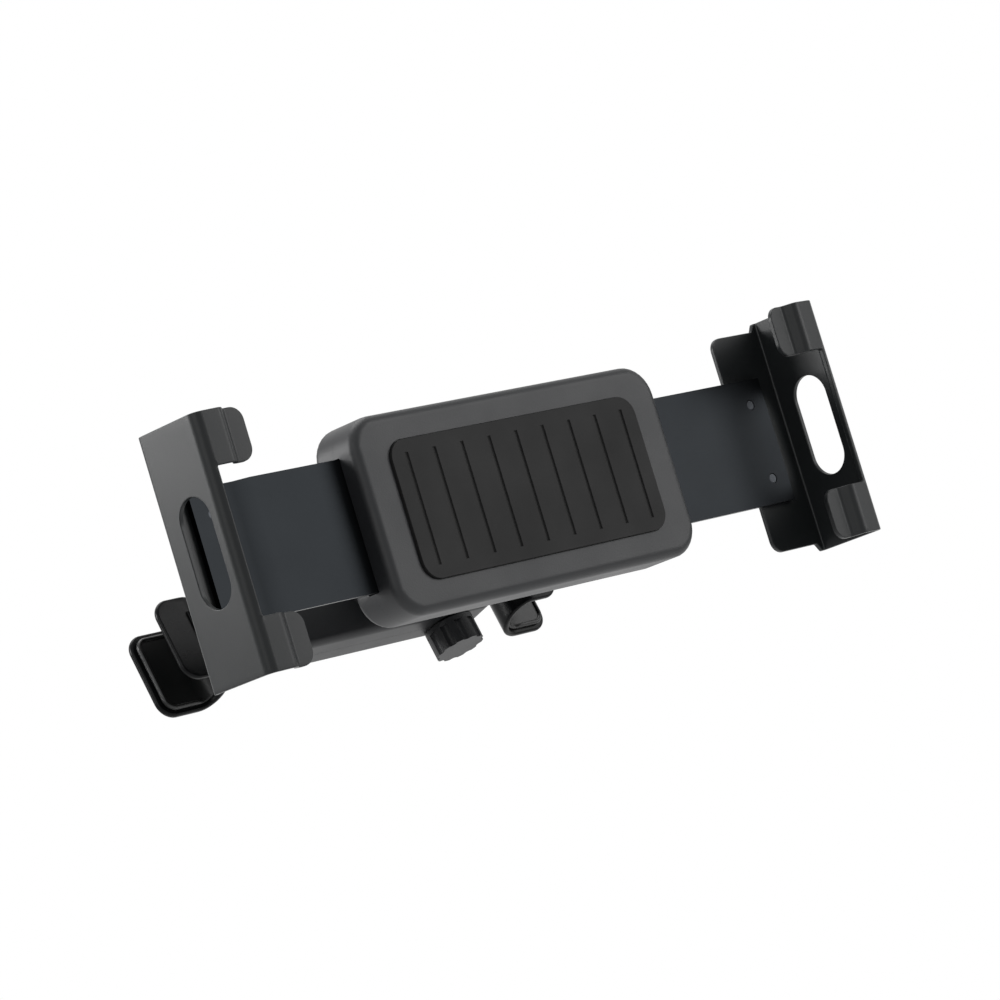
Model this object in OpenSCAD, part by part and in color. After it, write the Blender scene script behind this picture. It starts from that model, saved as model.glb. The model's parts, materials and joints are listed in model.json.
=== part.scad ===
// Headrest tablet mount: a spring-loaded cradle with two folded sheet jaws, a ball joint with a
// locking ring, and a bar whose two hooks take hold of the posts of a car headrest.
// Frame: the origin is the middle of the face that a tablet's back rests on, -Y points at the
// reader of the screen, +X along the travel of the jaws, +Z up along the jaws.

/* [Grip] */
// Clear width between the two jaw walls at rest
grip_w = 251; // [240:1:262]
// Travel of each jaw inwards from rest
travel_in = 32; // [10:1:33]
// Travel of each jaw outwards from rest
travel_out = 8; // [2:1:10]
// Distance from the seat face back to the inner face of the jaw flange
flange_y = 12.9; // [12.2:0.1:14]

/* [Jaws] */
// Height of a jaw
jaw_h = 75; // [66:1:90]
// Thickness of the folded sheet
sheet_t = 1.5; // [1.2:0.1:1.8]
// Width of the back flange
flange_w = 23; // [21:0.5:26]
// Height of the front corner of the wall over the seat face
wall_rise = 12.7; // [12:0.1:15]
// Width of the sloping lip face between the wall and the crest
lip_w = 11.3; // [9:0.1:13]
// Rise of the lip from the wall to the crest
lip_rise = 1.3; // [0.5:0.1:2]
// Drop of the lip from the crest down to its end
lip_drop = 4.4; // [3.6:0.1:4.8]
// Lean of that drop towards the middle
lip_lean = 0.7; // [0.3:0.1:1.2]
// Length of the flat lip end
lip_end = 6.8; // [6:0.1:9]
// Flare of the lip end
lip_flare = 0.8; // [0.2:0.1:1.2]
// Height of one lip
lip_h = 15.8; // [12:0.1:20]
// Radius of the lip corners
lip_r = 4; // [2:0.1:5]
// Inner radius of the fold between the flange and the wall
fold_r = 0.5; // [0.3:0.1:1]
// Inner radius of the front fold
front_r = 1.3; // [0.8:0.1:1.6]
// Inner radius of the crest
crest_r = 0.7; // [0.5:0.1:0.9]
// Radius of the hollow bend before the lip end
hollow_r = 1; // [0.6:0.1:1.1]
// Width of the edge that stays between the lips
rim_w = 2.5; // [2:0.1:3]
// Length of the rounded hole in the wall
slot_l = 32; // [24:0.5:40]
// Width of the rounded hole in the wall
slot_w = 13.7; // [8:0.1:15]
// Distance of the hole's middle in front of the seat face
slot_y = 0.6; // [0:0.1:1.5]
// Thickness of the pads under the lips
lip_pad_t = 0.6; // [0.4:0.1:0.7]

/* [Arms] */
// Thickness of an arm
arm_t = 2; // [1.6:0.1:2.2]
// Height of an arm
arm_h = 40; // [38:0.5:44]
// Distance of the arm's outer end from the jaw's outer face
arm_end = 9.5; // [8.5:0.1:11]
// Gap between the two arms where they pass each other
layer_gap = 0.2; // [0.1:0.05:0.3]
// Length of the step that brings the left arm into its own layer
joggle_l = 5; // [4:0.5:6]
// Width of the bar that closes an arm's window
end_bar = 4; // [3:0.5:5]

/* [Rack and pinion] */
// Module of the teeth
gear_m = 1.5; // [1.4:0.05:1.55]
// Number of pinion teeth
gear_z = 10; // [10:2:10]
// Pressure angle
gear_angle = 25; // [24:1:26]
// Play between the teeth
backlash = 0.3; // [0.2:0.05:0.4]
// Diameter of the pinion's pin
axle_d = 4; // [3:0.1:5]

/* [Housing] */
// Length of the housing
body_w = 124; // [120:1:128]
// Height of the housing
body_h = 60; // [57:1:70]
// Radius of the housing's corners
body_r = 10; // [6:0.5:12]
// Radius of the housing's soft edges
edge_r = 3; // [2:0.1:3.5]
// Wall of the housing
wall = 2.2; // [1.8:0.1:2.6]
// Depth of the rear shell
rear_d = 9.6; // [9:0.1:12]
// Thickness of the seat pad
pad_t = 1.6; // [1.2:0.1:2]
// Depth of the pad's recess
pad_sink = 0.6; // [0.4:0.1:0.8]
// Length of the seat pad
pad_w = 100; // [80:1:104]
// Height of the seat pad
pad_h = 42; // [30:1:44]

/* [Ball joint] */
// Distance of the ball's middle behind the seat face
ball_y = 48; // [46:0.5:54]
// Backward pitch of the headrest bar at rest
pitch = 15.5; // [0:0.5:17]
// Diameter of the ball
ball_d = 20; // [18:0.5:21]
// Diameter of the ball's stem
stem_d = 8; // [6:0.1:8.5]
// Wall of the socket around the ball
socket_wall = 2.6; // [2.2:0.1:4]
// Wall of the locking ring around the socket's thread
ring_wall = 5; // [4:0.1:7]
// Length of the locking ring
ring_l = 20.6; // [19:0.1:24]
// Number of grip hollows around the locking ring
ring_grips = 18; // [12:1:22]
// Width of the socket's foot outside the thread
foot_rim = 8; // [7.5:0.1:10]
// Thickness of the socket's foot
foot_t = 3; // [2.5:0.1:4]
// Thickness of the two ball linings
lining_t = 1.1; // [0.9:0.05:1.2]

/* [Headrest bar] */
// Length of the bar's housing
bar_w = 92; // [88:1:96]
// Height of the bar's housing
bar_h = 29; // [28:0.5:34]
// Distance of the bar's front face behind the ball
bar_y = 34; // [33:0.5:35]
// Depth of the bar's housing
bar_d = 16; // [15:0.5:18]
// Drop of the bar's middle below the ball
bar_drop = 1; // [0:0.1:2]
// Height of the strips that carry the hooks
strip_h = 16; // [14:0.1:17]
// Thickness of those strips
strip_t = 4; // [3.4:0.1:4.4]
// Length of the sliding strip that stays in the housing at full reach
strip_grip = 16; // [12:0.5:18]
// Length left for the spring between the strips when the hook is fully in
spring_room = 16; // [12:0.5:20]
// Travel of the sliding hook outwards
hook_out = 22; // [10:0.5:24]
// Travel of the sliding hook inwards
hook_in = 8; // [2:0.5:9]

/* [Hooks] */
// Distance between the two headrest posts at rest
post_gap = 133; // [128:0.5:140]
// Distance of the posts' middle behind the ball
post_y = 49.1; // [47:0.1:51]
// Inner radius of a hook's bend
hook_r = 6.2; // [5.6:0.1:7]
// Thickness of a hook's sheet
hook_t = 2; // [1.6:0.1:2.4]
// Length of the rear plate beyond the bend
plate_l = 14; // [12:0.1:18]
// Height of the rear plate
plate_h = 27.8; // [24:0.1:32]
// Drop of the rear plate's middle below the ball
plate_drop = 5.4; // [3:0.1:7]
// Length of the front tongue beyond the bend
tongue_l = 11; // [9:0.1:14]
// Height of the front tongue
tongue_h = 26.8; // [22:0.1:30]
// Drop of the front tongue's middle below the ball
tongue_drop = 1.3; // [0:0.1:3]
// Corner radius of plate and tongue
hook_corner = 5.5; // [3:0.1:7]
// Thickness of the rubber lining
liner_t = 1; // [0.6:0.1:1.4]
// Bare edge around the lining
liner_edge = 1.6; // [1:0.1:2.4]
// Width of the lining's raised rim
rim_t = 1.2; // [0.8:0.1:1.6]
// Height of the lining's raised rim
rim_h = 0.7; // [0.4:0.1:1]

/* [Lock] */
// Distance of the lock knob from the bar's middle
knob_x = 28; // [24:0.5:32]
// Diameter of the lock knob
knob_d = 16; // [12:0.5:20]
// Height of the lock knob
knob_h = 8.5; // [6:0.5:12]
// Diameter of its screw
knob_screw = 4; // [3:0.1:4.5]

/* [Fasteners] */
// Diameter of the jaw and socket screws
screw_d = 3; // [2.5:0.1:3.4]
// Diameter of the small screws of the two housings
small_d = 2.2; // [1.8:0.1:2.4]
// Radial room around a screw or pin in its hole
hole_room = 0.1; // [0.05:0.05:0.2]
// Radial room of a running fit
running = 0.05; // [0.03:0.01:0.08]
// Gap between faces that slide
slide_gap = 0.2; // [0.15:0.05:0.3]

/* [Hidden] */
$fn = 64;
soft_fn = 32;
over = 1;
far = 200;

// Jaw profile, as the corner points of the sheet's outer face, from the flange to the lip's tip
jaw_x = grip_w / 2 + sheet_t;
flange_x = jaw_x - flange_w;
crest_x = jaw_x - lip_w;
crest_y = -wall_rise - lip_rise;
hollow_x = crest_x - lip_lean;
hollow_y = crest_y + lip_drop;
tip_x = hollow_x - lip_end;
jaw_corners = [
    [flange_x, flange_y + sheet_t], [jaw_x, flange_y + sheet_t], [jaw_x, -wall_rise],
    [crest_x, crest_y], [hollow_x, hollow_y], [tip_x, hollow_y - lip_flare]
];
jaw_radii = [0, fold_r, front_r, crest_r, hollow_r, 0];
lip_z = jaw_h / 2 - lip_h / 2;

// Arms: the right one lies in the rear layer, the left one steps into the front layer
arm_rear_y = flange_y - arm_t;
arm_front_y = arm_rear_y - layer_gap - arm_t;
split_y = arm_rear_y - layer_gap / 2;
arm_x = jaw_x - arm_end;
joggle_gap = 3;
joggle_x = flange_x - joggle_l - joggle_gap;
jaw_screw_x = (flange_x + arm_x) / 2;
jaw_screw_edge = 8;
jaw_screw_z = arm_h / 2 - jaw_screw_edge;

// Rack and pinion
gear_r = gear_m * gear_z / 2;
tooth_pitch = PI * gear_m;
addendum = 0.8 * gear_m;
tooth_room = 0.4;
dedendum = addendum + tooth_room;
gear_tip = gear_r + addendum;
base_r = gear_r * cos(gear_angle);
window_room = 0.8;
window_in = -travel_out - gear_tip - window_room;
window_out = travel_in + gear_tip + window_room;
window_z = gear_tip + window_room;
arm_in = window_in - end_bar;
gear_side = 0.3;

// Housing
front_y = pad_t - pad_sink;
rear_y = split_y + rear_d;
front_floor = pad_t + wall;
rear_floor = rear_y - wall;
arm_slot_h = arm_h + 2 * slide_gap;
guide_t = 2;
guide_edge = 1;
guide_z = arm_h / 2 - guide_t / 2 - guide_edge;
cavity_room = 4;
cavity_w = body_w - 2 * wall;
cavity_h = arm_h + 2 * cavity_room;
boss_side = 8;
boss_edge = 4.4;
boss_x = body_w / 2 - boss_side;
boss_z = body_h / 2 - boss_edge;
axle_wall = 2;
axle_boss_d = axle_d + 2 * axle_wall;
pad_r = 6;
pad_room = 0.2;
groove_w = 1.2;
groove_t = 0.5;
groove_gap = 11;
groove_edge = 4;

// Screws: head diameter and height for each millimetre of shank, the depth of their counterbores,
// and the length that bites in the part below
head_d = 1.85;
head_t = 0.55;
counterbore = 2;
body_bite = 5;
bar_bite = 4;
stud_bite = 12;
stud_screw_d = 4;
stud_web = 1;
short_room = 0.2;

// Springs of the jaws
spring_wire = 0.7;
spring_r = 1.8;
peg_d = 2.4;
peg_l = 3.9;
peg_z = window_z + peg_d / 2 + 2;
arm_peg_x = 34;
body_peg_x = body_w / 2 - 7;
eye_fn = 14;
eye_room = 0.25;
eye_r = peg_d / 2 + eye_room + spring_wire / 2;
jaw_spring_turns = 16;
front_spring_y = (front_floor + arm_front_y) / 2;
rear_spring_y = (rear_floor + flange_y) / 2;

// Ball joint
ball_r = ball_d / 2;
lining_gap = 0.15;
cavity_r = ball_r + lining_t + 2 * lining_gap;
thread_d = 2 * (cavity_r + socket_wall);
ring_d = thread_d + 2 * ring_wall;
foot_d = thread_d + 2 * foot_rim;
cup_angle = 40;
seat_from = 62;
seat_to = 84;
mouth_angle = 50;
mouth_flare = 2.4;
mouth_start = 3;
ring_top = ball_r + 0.6;
ring_nose = 2.5;
ring_heel = 1;
grip_r = 2.2;
grip_out = 1.4;
grip_start = 3;
thread_l = 12;
thread_h = 0.8;
stem_foot_d = stem_d + 6;
stem_foot_t = 2;
neck_l = 8;
neck_wall = 2;
neck_flare = 2;
boss_top_y = bar_y - neck_l;
socket_screw_r = foot_d / 2 - 4;

// Headrest bar, in its own frame: origin at the ball, Y back along the stem
strip_y = post_y - hook_r - hook_t / 2;
bar_split = strip_y;
bar_r = 7;
bar_edge = 2.5;
channel_t = strip_t + 2 * slide_gap;
channel_h = strip_h + 2 * slide_gap;
bar_back = bar_y + bar_d;
bar_screw_x = bar_w / 2 - 6;
bar_screw_z = (channel_h / 2 + bar_h / 2) / 2 - 0.2;
post_x = post_gap / 2;
slide_in = bar_w / 2 - strip_grip - hook_out;
fixed_in = spring_room - slide_in + hook_in;
bar_spring_r = 1.6;
bar_wire = 0.6;
bar_turns = 8;
hook_out_r = hook_r + hook_t;
strip_low = -bar_drop - strip_h / 2;
bar_low = -bar_drop - bar_h / 2;
insert_d = knob_screw + 3;
insert_h = 4.3;
insert_room = 0.1;
insert_gap = 0.4;
knob_gap = 0.3;
knob_clear = 0.6;
knob_grips = 10;
knob_grip_r = 1.8;
knob_brim = 1.5;

// Bearing of the line from p to q
function heading(p, q) = atan2(q.y - p.y, q.x - p.x);

// Change of bearing at corner i of a line, between -180 and 180
function turn(p, i) =
    let (a = heading(p[i], p[i + 1]) - heading(p[i - 1], p[i]))
    a > 180 ? a - 360 : a <= -180 ? a + 360 : a;

// Middle of the bend at corner i; the corner points lie on the left face of the sheet
function bend_middle(p, r, t, i) =
    let (a = turn(p, i), h = heading(p[i - 1], p[i]), big = a < 0 ? r[i] + t : r[i])
    p[i] - [cos(h), sin(h)] * big * tan(abs(a) / 2) + sign(a) * [-sin(h), cos(h)] * big;

// Points of one face round corner i: rl is that face's radius where the sheet turns left
function bend_points(p, r, t, i, rl, rr) =
    let (a = turn(p, i), h = heading(p[i - 1], p[i]), m = bend_middle(p, r, t, i), n = 10)
    [for (k = [0:n]) let (b = h - sign(a) * 90 + a * k / n) m + (a > 0 ? rl : rr) * [cos(b), sin(b)]];

// Outline of a folded sheet of thickness t, from the corner points and inner radii of its left face
function sheet_outline(p, r, t) =
    let (
        n = len(p) - 1,
        h0 = heading(p[0], p[1]),
        h1 = heading(p[n - 1], p[n]),
        left = [for (i = [1:n - 1]) each bend_points(p, r, t, i, r[i], r[i] + t)],
        right = [for (i = [1:n - 1]) each bend_points(p, r, t, i, r[i] + t, r[i])]
    )
    concat(
        [p[0]], left, [p[n]],
        [p[n] + t * [sin(h1), -cos(h1)]],
        [for (i = [len(right) - 1:-1:0]) right[i]],
        [p[0] + t * [sin(h0), -cos(h0)]]
    );

// Rectangle with round corners, drawn about its middle
module rounded_rect(w, h, r) {
    square([w - 2 * r, h], center = true);
    square([w, h - 2 * r], center = true);
    for (x = [-1, 1], y = [-1, 1])
        translate([x * (w / 2 - r), y * (h / 2 - r)])
            circle(r);
}

// What is cut from a square corner at the origin to leave it round; the solid lies to -x and -y
module corner_waste(r) {
    difference() {
        translate([-r, -r])
            square(r + over);
        translate([-r, -r])
            circle(r);
    }
}

// Turns a shape drawn in x and y so that y becomes Z, and extrudes it along Y from y0 to y1
module along_y(y0, y1) {
    translate([0, y1, 0])
        rotate([90, 0, 0])
            linear_extrude(y1 - y0)
                children();
}

// Stands a turned shape along +Y with its base at y
module turned_y(y) {
    translate([0, y, 0])
        rotate([-90, 0, 0])
            children();
}

// Block along +Y from y0 to y1 with round corners and a soft edge at its far end
module soft_block(w, h, y0, y1, r, e) {
    turned_y(y0)
        hull()
            for (x = [-1, 1], z = [-1, 1])
                translate([x * (w / 2 - r), z * (h / 2 - r), 0]) {
                    cylinder(r = r, h = y1 - y0 - e, $fn = soft_fn);
                    translate([0, 0, y1 - y0 - e])
                        rotate_extrude($fn = soft_fn)
                            translate([r - e, 0])
                                intersection() {
                                    circle(e, $fn = soft_fn);
                                    square(e);
                                }
                    cylinder(r = r - e, h = y1 - y0, $fn = soft_fn);
                }
}

// The frame of the headrest bar at rest
module bar_frame() {
    translate([0, ball_y, 0])
        rotate([-pitch, 0, 0])
            children();
}

// Screw along +Y with its head's seat at y and its shank towards -Y, with a cross recess
module screw(d, l, y) {
    difference() {
        turned_y(y) {
            translate([0, 0, -l])
                cylinder(d = d, h = l);
            cylinder(d = head_d * d, h = head_t * d);
        }
        for (a = [0, 90])
            translate([0, y + head_t * d, 0])
                rotate([0, a, 0])
                    cube([0.25 * d, 0.5 * d, 1.1 * d], center = true);
    }
}

// Hole for a screw along Y from y0 to y1
module hole(d, y0, y1) {
    turned_y(y0)
        cylinder(d = d + 2 * hole_room, h = y1 - y0);
}

// Wire wound along +X from x0 to x1, as a tube swept along a helix that closes in at both ends
module coil(x0, x1, r, wire, turns) {
    step = 10;
    sides = 5;
    n = turns * step;
    ring = [for (i = [0:n], k = [0:sides - 1])
        let (
            a = 360 * i / step,
            b = 360 * k / sides,
            grow = max(0.6 * wire, r * min(1, i / step, (n - i) / step)),
            q = grow + wire / 2 * cos(b)
        )
        [x0 + (x1 - x0) * i / n + wire / 2 * sin(b), q * cos(a), q * sin(a)]];
    side = [for (i = [0:n - 1], k = [0:sides - 1])
        let (a = i * sides + k, b = i * sides + (k + 1) % sides)
        [a, b, b + sides, a + sides]];
    start = [for (k = [sides - 1:-1:0]) k];
    end = [for (k = [0:sides - 1]) n * sides + k];
    polyhedron(ring, concat([start], side, [end]));
}

// Eye at a spring's end, round a peg that stands along Y
module spring_eye(x) {
    translate([x, 0, 0])
        rotate([90, 0, 0])
            rotate_extrude($fn = eye_fn)
                translate([eye_r, 0])
                    circle(d = spring_wire, $fn = eye_fn);
}

// Jaw on the +X side: one folded sheet with two lips, a window between them and a rounded hole
module jaw() {
    difference() {
        linear_extrude(jaw_h, center = true)
            polygon(sheet_outline(jaw_corners, jaw_radii, sheet_t));
        translate([0, crest_y - over, lip_h - jaw_h / 2])
            cube([jaw_x - rim_w, over + wall_rise + lip_rise - sheet_t, jaw_h - 2 * lip_h]);
        translate([jaw_x, 0, 0])
            rotate([0, -90, 0])
                linear_extrude(3 * sheet_t, center = true)
                    translate([0, -slot_y])
                        rounded_rect(slot_l, slot_w, slot_w / 2 - 0.01);
        for (z = [-1, 1], s = [-1, 1])
            translate([tip_x, 0, z * lip_z + s * lip_h / 2])
                along_y(crest_y - over, 0)
                    mirror([1, 0])
                        mirror([0, s < 0 ? 1 : 0])
                            corner_waste(lip_r);
        for (z = [-1, 1]) {
            translate([flange_x, 0, z * jaw_h / 2])
                along_y(flange_y - over, flange_y + sheet_t + over)
                    mirror([1, 0])
                        mirror([0, z < 0 ? 1 : 0])
                            corner_waste(lip_r);
            translate([jaw_screw_x, 0, z * jaw_screw_z])
                hole(screw_d, flange_y - over, flange_y + sheet_t + over);
        }
    }
}

module jaw_right() {
    color("#2b2d2f")
        jaw();
}

module jaw_left() {
    color("#2b2d2f")
        mirror([1, 0, 0])
            jaw();
}

// Pad stuck under one lip end, on the +X side at height z
module lip_pad(z) {
    flare = atan2(lip_flare, lip_end);
    tip_room = 0.9;
    bend_room = 1.5;
    side_room = 2;
    translate([hollow_x, hollow_y, z])
        rotate([0, 0, flare])
            translate([-lip_end + tip_room, sheet_t, side_room - lip_h / 2])
                cube([lip_end - tip_room - bend_room, lip_pad_t, lip_h - 2 * side_room]);
}

module lip_pad_right_upper() {
    color("#1c1c1d")
        lip_pad(lip_z);
}

module lip_pad_right_lower() {
    color("#1c1c1d")
        lip_pad(-lip_z);
}

module lip_pad_left_upper() {
    color("#1c1c1d")
        mirror([1, 0, 0])
            lip_pad(lip_z);
}

module lip_pad_left_lower() {
    color("#1c1c1d")
        mirror([1, 0, 0])
            lip_pad(-lip_z);
}

// Row of rack teeth pointing up from the pitch line, a space at x = 0
module rack_teeth(x0, x1) {
    slope = tan(gear_angle);
    half = (tooth_pitch - backlash) / 4;
    for (k = [floor(x0 / tooth_pitch):ceil(x1 / tooth_pitch) - 1])
        translate([(k + 0.5) * tooth_pitch, 0])
            polygon([
                [-half - slope * dedendum, -dedendum - 0.01], [half + slope * dedendum, -dedendum - 0.01],
                [half - slope * addendum, addendum], [-half + slope * addendum, addendum]
            ]);
}

// Flat shape of the arm on the +X side: a strip with a window, whose lower edge is the rack
module arm_shape(x0, x1) {
    intersection() {
        union() {
            difference() {
                translate([arm_in, -arm_h / 2])
                    square([arm_x - arm_in, arm_h]);
                translate([window_in, -gear_r - dedendum])
                    square([window_out - window_in, gear_r + dedendum + window_z]);
            }
            translate([0, -gear_r])
                rack_teeth(window_in + window_room, window_out - window_room);
        }
        translate([x0, -far / 2])
            square([x1 - x0, far]);
    }
}

// Peg for an arm's spring, which stands on the face at y towards dir
module arm_peg(y, dir) {
    translate([arm_peg_x, 0, peg_z])
        turned_y(dir > 0 ? y : y - peg_l)
            cylinder(d = peg_d, h = peg_l);
}

// Holes of an arm for its jaw's screws
module arm_holes() {
    for (z = [-1, 1])
        translate([jaw_screw_x, 0, z * jaw_screw_z])
            hole(screw_d, arm_rear_y - over, flange_y + over);
}

module arm_right() {
    color("#8d9093") {
        difference() {
            along_y(arm_rear_y, flange_y)
                arm_shape(arm_in, arm_x);
            arm_holes();
        }
        arm_peg(flange_y, 1);
    }
}

// The left arm is the right one turned half round, with a step into the front layer
module arm_left() {
    color("#8d9093")
        rotate([0, 180, 0]) {
            along_y(arm_front_y, arm_front_y + arm_t)
                arm_shape(arm_in, joggle_x);
            translate([0, 0, -arm_h / 2])
                linear_extrude(arm_h)
                    polygon([
                        [joggle_x, arm_front_y], [joggle_x + joggle_l, arm_rear_y],
                        [joggle_x + joggle_l, flange_y], [joggle_x, arm_front_y + arm_t]
                    ]);
            difference() {
                along_y(arm_rear_y, flange_y)
                    arm_shape(joggle_x + joggle_l, arm_x);
                arm_holes();
            }
            arm_peg(arm_front_y, -1);
        }
}

// Two screws through a jaw's flange into its arm, on the +X side
module jaw_screws() {
    for (z = [-1, 1])
        translate([jaw_screw_x, 0, z * jaw_screw_z])
            screw(screw_d, sheet_t + arm_t - short_room, flange_y + sheet_t);
}

module jaw_screws_right() {
    color("#3a3c3e")
        jaw_screws();
}

module jaw_screws_left() {
    color("#3a3c3e")
        mirror([1, 0, 0])
            jaw_screws();
}

// Involute of an angle, in degrees
function involute(a) = tan(a) * 180 / PI - a;

// Half the angle that a pinion tooth fills at radius r
function tooth_half(r) =
    (tooth_pitch - backlash) / 4 / gear_r * 180 / PI
    + involute(gear_angle) - involute(r > base_r ? acos(base_r / r) : 0);

// Pinion with involute teeth, one of them pointing at each rack
module pinion() {
    steps = 5;
    root_r = gear_r - dedendum;
    radii = [for (k = [0:steps]) base_r + (gear_tip - base_r) * k / steps];
    right = [for (r = radii) r * [cos(tooth_half(r)), -sin(tooth_half(r))]];
    left = [for (k = [steps:-1:0]) [right[k].x, -right[k].y]];
    foot = root_r / base_r * 0.9;
    color("#d9d6cc")
        turned_y(arm_front_y + gear_side / 2)
            difference() {
                linear_extrude(flange_y - arm_front_y - gear_side) {
                    circle(root_r);
                    for (k = [0:gear_z - 1])
                        rotate(90 + 360 * k / gear_z)
                            polygon(concat([foot * right[0]], right, left, [foot * left[steps]]));
                }
                translate([0, 0, -over])
                    cylinder(d = axle_d + 2 * running, h = far);
            }
}

module pinion_axle() {
    color("#b9bcbf")
        turned_y(front_floor)
            cylinder(d = axle_d, h = rear_floor - front_floor);
}

// Corner places of the housing's screws
module at_bosses() {
    for (x = [-1, 1], z = [-1, 1])
        translate([x * boss_x, 0, z * boss_z])
            children();
}

// Inside of a housing shell from y0 to y1, between the screw bosses
module body_cavity(y0, y1) {
    along_y(y0, y1)
        rounded_rect(cavity_w, cavity_h, body_r - wall);
}

// Way in for the arms at both ends of the housing
module arm_way(y0, y1) {
    translate([-body_w, y0, -arm_slot_h / 2])
        cube([2 * body_w, y1 - y0, arm_slot_h]);
}

// Guide ribs and the pin's boss, from y0 to y1
module body_ribs(y0, y1) {
    for (z = [-1, 1])
        translate([-cavity_w / 2, y0, z * guide_z - guide_t / 2])
            cube([cavity_w, y1 - y0, guide_t]);
    difference() {
        turned_y(y0)
            cylinder(d = axle_boss_d, h = y1 - y0);
        hole(axle_d, y0 - over, y1 + over);
    }
}

module housing_front() {
    color("#242526") {
        difference() {
            mirror([0, 1, 0])
                soft_block(body_w, body_h, -split_y, -front_y, body_r, edge_r);
            along_y(front_y - over, pad_t)
                rounded_rect(pad_w + 2 * pad_room, pad_h + 2 * pad_room, pad_r + pad_room);
            body_cavity(front_floor, split_y + over);
            arm_way(arm_front_y - slide_gap, split_y + over);
            at_bosses()
                hole(small_d, front_floor, split_y + over);
        }
        body_ribs(front_floor, arm_front_y - slide_gap);
        translate([body_peg_x, 0, -peg_z])
            turned_y(front_floor)
                cylinder(d = peg_d, h = peg_l);
    }
}

module housing_rear() {
    color("#242526") {
        difference() {
            soft_block(body_w, body_h, split_y, rear_y, body_r, edge_r);
            body_cavity(split_y - over, rear_floor);
            arm_way(split_y - over, flange_y + slide_gap);
            at_bosses() {
                hole(small_d, split_y - over, rear_y + over);
                hole(head_d * small_d, rear_y - counterbore, rear_y + over);
            }
            socket_screw_places()
                hole(screw_d, rear_floor - over, rear_y + over);
        }
        body_ribs(flange_y + slide_gap, rear_floor);
        translate([-body_peg_x, 0, peg_z])
            turned_y(rear_floor - peg_l)
                cylinder(d = peg_d, h = peg_l);
    }
}

module seat_pad() {
    color("#1b1b1c")
        difference() {
            along_y(0, pad_t)
                rounded_rect(pad_w, pad_h, pad_r);
            for (k = [-4:4])
                translate([k * groove_gap - groove_w / 2, -over, groove_edge - pad_h / 2])
                    cube([groove_w, over + groove_t, pad_h - 2 * groove_edge]);
        }
}

module housing_screws() {
    color("#3a3c3e")
        at_bosses()
            screw(small_d, rear_d - counterbore + body_bite, rear_y - counterbore);
}

// Tension spring of the left jaw, in the front of the housing
module jaw_spring_left() {
    color("#a9adb0")
        translate([0, front_spring_y, -peg_z]) {
            coil(-arm_peg_x + eye_r, body_peg_x - eye_r, spring_r, spring_wire, jaw_spring_turns);
            spring_eye(-arm_peg_x);
            spring_eye(body_peg_x);
        }
}

// Tension spring of the right jaw, in the rear of the housing
module jaw_spring_right() {
    color("#a9adb0")
        translate([0, rear_spring_y, peg_z]) {
            coil(-body_peg_x + eye_r, arm_peg_x - eye_r, spring_r, spring_wire, jaw_spring_turns);
            spring_eye(-body_peg_x);
            spring_eye(arm_peg_x);
        }
}

// Places of the screws that hold the socket's foot
module socket_screw_places() {
    for (a = [45:90:315])
        rotate([0, a, 0])
            translate([socket_screw_r, 0, 0])
                children();
}

// Socket with its foot on the housing and its thread under the locking ring
module ball_socket() {
    reach = ball_y - rear_y;
    waist = reach - thread_l;
    thread_r = thread_d / 2;
    chamfer = 0.8;
    color("#27282a")
        difference() {
            turned_y(rear_y)
                rotate_extrude()
                    polygon([
                        [0, 0], [foot_d / 2, 0], [foot_d / 2, foot_t - chamfer],
                        [foot_d / 2 - chamfer, foot_t], [thread_r + thread_h, foot_t],
                        [thread_r - thread_h, foot_t + 2 * thread_h],
                        [thread_r - thread_h, waist], [thread_r, waist + thread_h],
                        [thread_r, reach - thread_h / 2], [thread_r - thread_h / 2, reach], [0, reach]
                    ]);
            turned_y(ball_y)
                sphere(cavity_r);
            socket_screw_places()
                hole(screw_d, rear_y - over, rear_y + foot_t + over);
        }
}

module socket_screws() {
    color("#3a3c3e")
        socket_screw_places()
            screw(screw_d, foot_t + wall - short_room, rear_y + foot_t);
}

// Locking ring: threaded over the socket, ball seat inside, flared mouth, grip hollows outside
module locking_ring() {
    mouth_y = cavity_r * cos(mouth_angle);
    mouth_r = cavity_r * sin(mouth_angle);
    slope = mouth_flare / (ring_top - mouth_y);
    heel_y = ball_y + ring_top - ring_l;
    color("#1f2021")
        difference() {
            turned_y(heel_y)
                rotate_extrude()
                    polygon([
                        [0, 0], [ring_d / 2 - ring_heel, 0], [ring_d / 2, ring_heel],
                        [ring_d / 2, ring_l - ring_nose], [ring_d / 2 - ring_nose, ring_l], [0, ring_l]
                    ]);
            turned_y(heel_y - over)
                cylinder(d = thread_d + 2 * running, h = ring_l - ring_top + over + 2 * lining_gap);
            turned_y(ball_y)
                sphere(cavity_r);
            turned_y(ball_y + mouth_y - mouth_start)
                cylinder(
                    r1 = mouth_r - slope * mouth_start, r2 = mouth_r + mouth_flare + slope * over,
                    h = ring_top - mouth_y + mouth_start + over
                );
            for (a = [0:360 / ring_grips:359])
                rotate([0, a, 0])
                    translate([ring_d / 2 + grip_out, 0, 0])
                        turned_y(heel_y + grip_start)
                            cylinder(r = grip_r, h = ring_l);
        }
}

// Shell round the ball between two angles from its axis, drawn along +z
module ball_shell(a0, a1) {
    n = 12;
    r0 = ball_r + lining_gap;
    r1 = r0 + lining_t;
    rotate_extrude()
        polygon(concat(
            [for (k = [0:n]) let (a = a0 + (a1 - a0) * k / n) r0 * [sin(a), cos(a)]],
            [for (k = [n:-1:0]) let (a = a0 + (a1 - a0) * k / n) r1 * [sin(a), cos(a)]]
        ));
}

module friction_cup() {
    color("#c9c4b4")
        translate([0, ball_y, 0])
            rotate([90, 0, 0])
                ball_shell(0, cup_angle);
}

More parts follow.
